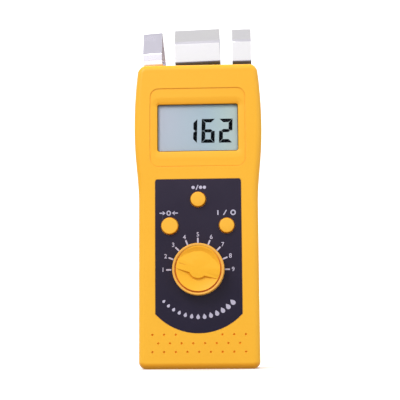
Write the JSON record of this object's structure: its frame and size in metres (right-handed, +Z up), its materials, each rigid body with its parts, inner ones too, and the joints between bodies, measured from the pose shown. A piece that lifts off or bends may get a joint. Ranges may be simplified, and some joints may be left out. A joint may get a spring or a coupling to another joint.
{
  "type": "moisture meter",
  "caption": "Hand-held meter for damp in floors and boards: a slim two-shell case with a display, push buttons, a selector knob and sprung strip electrodes on its head.",
  "frame": {"origin": "on the flat foot of the case, on its centre line, half way between its front and back faces", "axes": "+Z up along the case towards the electrodes, +Y out of the back, -Y out of the front with the display, +X to the right seen from the front"},
  "size_m": [0.0604, 0.0326, 0.1646],
  "materials": {
    "case": "moulded ABS, fine satin texture",
    "keys": "moulded ABS, smoother than the case",
    "label": "printed polycarbonate film",
    "window": "clear acrylic",
    "lcd": "reflective twisted-nematic display",
    "black_plastic": "moulded",
    "cream_plastic": "acetal",
    "blue_plastic": "printed sleeve",
    "red_plastic": "wire insulation",
    "rubber": "layered elastomer",
    "board": "glass-fibre board with solder mask",
    "steel": "bright zinc plated",
    "electrode": "bright stainless spring strip",
    "brass": "spring brass",
    "copper": "varnished copper winding"
  },
  "bodies": {
    "case": {"front_case": "case", "rear_case": "case", "control_label": "label", "display_window": "window", "lcd_panel": "lcd", "lcd_frame": "black_plastic", "zebra_strip_upper": "rubber", "zebra_strip_lower": "rubber", "single_double_switch": "black_plastic", "zero_switch": "black_plastic", "power_switch": "black_plastic", "detent_spring": "steel", "main_board": "board", "main_chip": "black_plastic", "crystal": "steel", "oscillator_coil": "copper", "storage_capacitor": "blue_plastic", "left_electrode_lead": "red_plastic", "center_electrode_lead": "red_plastic", "right_electrode_lead": "red_plastic", "electrode_block": "black_plastic", "electrode_screw_1": "steel", "electrode_screw_2": "steel", "electrode_screw_3": "steel", "electrode_screw_4": "steel", "block_screw_1": "steel", "block_screw_2": "steel", "battery": "blue_plastic", "battery_terminal_positive": "steel", "battery_terminal_negative": "steel", "battery_snap": "black_plastic", "battery_lead_red": "red_plastic", "battery_lead_black": "black_plastic", "case_screw_1": "steel", "board_screw_1": "steel", "case_screw_2": "steel", "board_screw_2": "steel", "case_screw_3": "steel", "board_screw_3": "steel", "case_screw_4": "steel", "board_screw_4": "steel"},
    "selector": {"selector_knob": "keys", "selector_rotor": "cream_plastic", "wiper_contact": "brass", "rotor_screw": "steel"},
    "single_double_key": {"single_double_button": "keys", "single_double_plunger": "cream_plastic"},
    "zero_key": {"zero_button": "keys", "zero_plunger": "cream_plastic"},
    "power_key": {"power_button": "keys", "power_plunger": "cream_plastic"},
    "door": {"battery_door": "case"},
    "electrode_left": {"left_electrode": "electrode"},
    "electrode_center": {"center_electrode": "electrode"},
    "electrode_right": {"right_electrode": "electrode"}
  },
  "joints": [
    {"name": "selector_turn", "type": "hinge", "parent": "case", "child": "selector", "pos_m": [0, -0.0175, 0.0456], "axis": [0, 1, 0], "range_deg": [-14, 166]},
    {"name": "battery_door_hinge", "type": "hinge", "parent": "case", "child": "door", "pos_m": [0, 0.01245, 0.00695], "axis": [-1, 0, 0], "range_deg": [0, 75]},
    {"name": "single_double_press", "type": "slide", "parent": "case", "child": "single_double_key", "axis": [0, 1, 0], "range_m": [0, 0.0004], "stiffness_N_per_m": 2500, "springref_m": -0.0001},
    {"name": "zero_press", "type": "slide", "parent": "case", "child": "zero_key", "axis": [0, 1, 0], "range_m": [0, 0.0004], "stiffness_N_per_m": 2500, "springref_m": -0.0001},
    {"name": "power_press", "type": "slide", "parent": "case", "child": "power_key", "axis": [0, 1, 0], "range_m": [0, 0.0004], "stiffness_N_per_m": 2500, "springref_m": -0.0001},
    {"name": "electrode_left_flex", "type": "slide", "parent": "case", "child": "electrode_left", "axis": [0, 0, 1], "range_m": [-0.0015, 0], "stiffness_N_per_m": 3000, "springref_m": 0.0001, "deforming": ["left_electrode"]},
    {"name": "electrode_center_flex", "type": "slide", "parent": "case", "child": "electrode_center", "axis": [0, 0, 1], "range_m": [-0.0015, 0], "stiffness_N_per_m": 6000, "springref_m": 0.0001, "deforming": ["center_electrode"]},
    {"name": "electrode_right_flex", "type": "slide", "parent": "case", "child": "electrode_right", "axis": [0, 0, 1], "range_m": [-0.0015, 0], "stiffness_N_per_m": 3000, "springref_m": 0.0001, "deforming": ["right_electrode"]}
  ]
}
